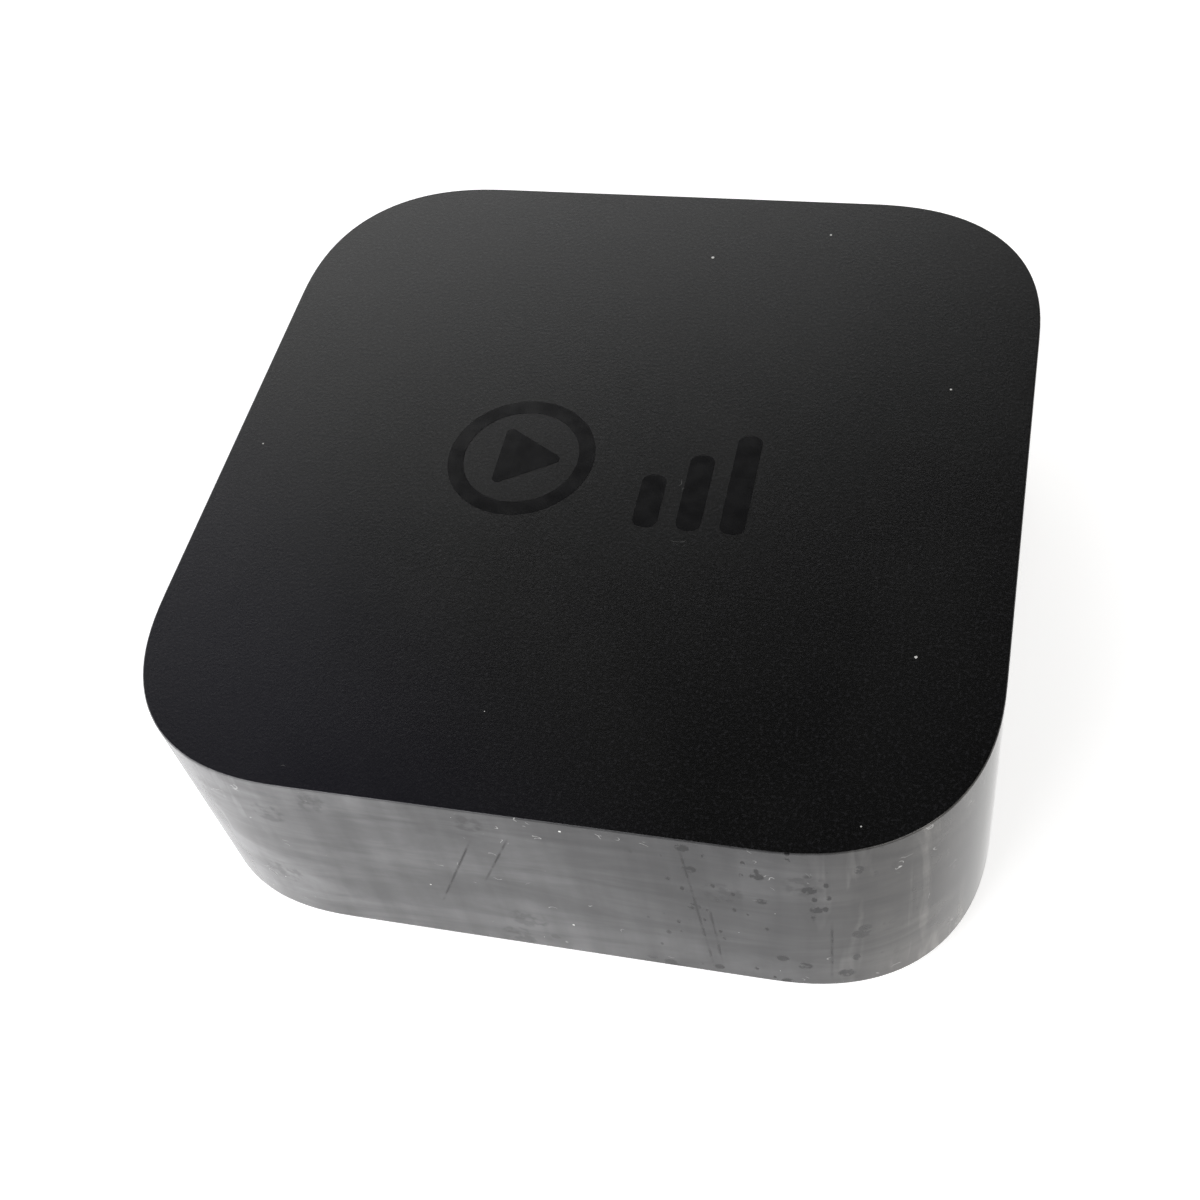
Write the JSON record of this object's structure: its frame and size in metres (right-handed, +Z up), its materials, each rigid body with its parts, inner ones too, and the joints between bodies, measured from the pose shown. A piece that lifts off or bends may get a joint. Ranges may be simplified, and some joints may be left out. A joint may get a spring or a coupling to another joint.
{
  "type": "streaming media player",
  "caption": "Square streaming media player with soft corners, a matte top, glossy sides, rear power, video and network sockets, a raised vented foot and a fan inside.",
  "frame": {"origin": "on the table, under the middle of the housing", "axes": "+Z up, -Y out of the front, +Y out of the rear face with the sockets, +X to the right as seen from the front"},
  "size_m": [0.098, 0.098, 0.035],
  "materials": {
    "housing_plastic": "high gloss black on the sides, fine matte grain on the top face",
    "cover_plastic": "fine moulded grain",
    "foot_rubber": "matte",
    "fan_plastic": "satin",
    "steel": "plain rolled",
    "plated_shell": "bright nickel plate",
    "aluminium": "die cast, light grain",
    "copper": "enamelled copper",
    "brass": "turned",
    "magnet": "bonded magnet, matte",
    "ferrite": "pressed and ground",
    "winding_tape": "polyester tape",
    "logic_laminate": "solder mask, satin",
    "supply_laminate": "paper laminate",
    "chip": "moulded epoxy",
    "thermal_pad": "soft, matte",
    "flex_film": "polyimide film",
    "insulator": "translucent sheet",
    "sleeve": "shrink sleeve",
    "film_box": "moulded box",
    "fuse_body": "moulded",
    "clear_plastic": "clear moulded plastic"
  },
  "bodies": {
    "player": {"housing": "housing_plastic", "base_cover": "cover_plastic", "foot_pad": "foot_rubber", "fan_frame": "fan_plastic", "fan_cover": "steel", "fan_bearing": "brass", "fan_stator": "copper", "fan_flex": "flex_film", "fan_socket": "insulator", "fan_screw_1": "steel", "fan_screw_2": "steel", "fan_screw_3": "steel", "fan_screw_4": "steel", "heat_sink": "aluminium", "thermal_pad": "thermal_pad", "main_screw_1": "steel", "main_screw_2": "steel", "main_screw_3": "steel", "main_screw_4": "steel", "logic_board": "logic_laminate", "processor": "chip", "storage_chip": "chip", "board_shield": "plated_shell", "wireless_module": "plated_shell", "video_socket": "plated_shell", "video_tongue": "cover_plastic", "network_jack": "plated_shell", "network_contacts": "brass", "antenna_right": "copper", "antenna_left": "copper", "antenna_lead_right": "sleeve", "antenna_lead_left": "sleeve", "front_board": "logic_laminate", "infrared_receiver": "sleeve", "status_light": "clear_plastic", "light_pipe": "clear_plastic", "supply_board": "supply_laminate", "supply_insulator": "insulator", "power_inlet": "cover_plastic", "inlet_pin_1": "plated_shell", "inlet_pin_2": "plated_shell", "transformer_core": "ferrite", "transformer_winding": "winding_tape", "bulk_capacitor_1": "sleeve", "bulk_capacitor_2": "sleeve", "filter_choke": "copper", "x_capacitor": "film_box", "fuse": "fuse_body", "output_capacitor_1": "sleeve", "output_capacitor_2": "sleeve", "output_inductor": "copper", "heat_spreader": "aluminium", "power_post_1": "brass", "power_post_2": "brass", "supply_screw_1": "steel", "supply_screw_2": "steel", "supply_screw_3": "steel"},
    "fan_rotor": {"fan_impeller": "fan_plastic", "fan_magnet": "magnet", "fan_shaft": "steel"}
  },
  "joints": [
    {"name": "fan_spin", "type": "hinge", "parent": "player", "child": "fan_rotor", "pos_m": [0, 0, 0.006], "axis": [0, 0, 1], "continuous": true}
  ]
}
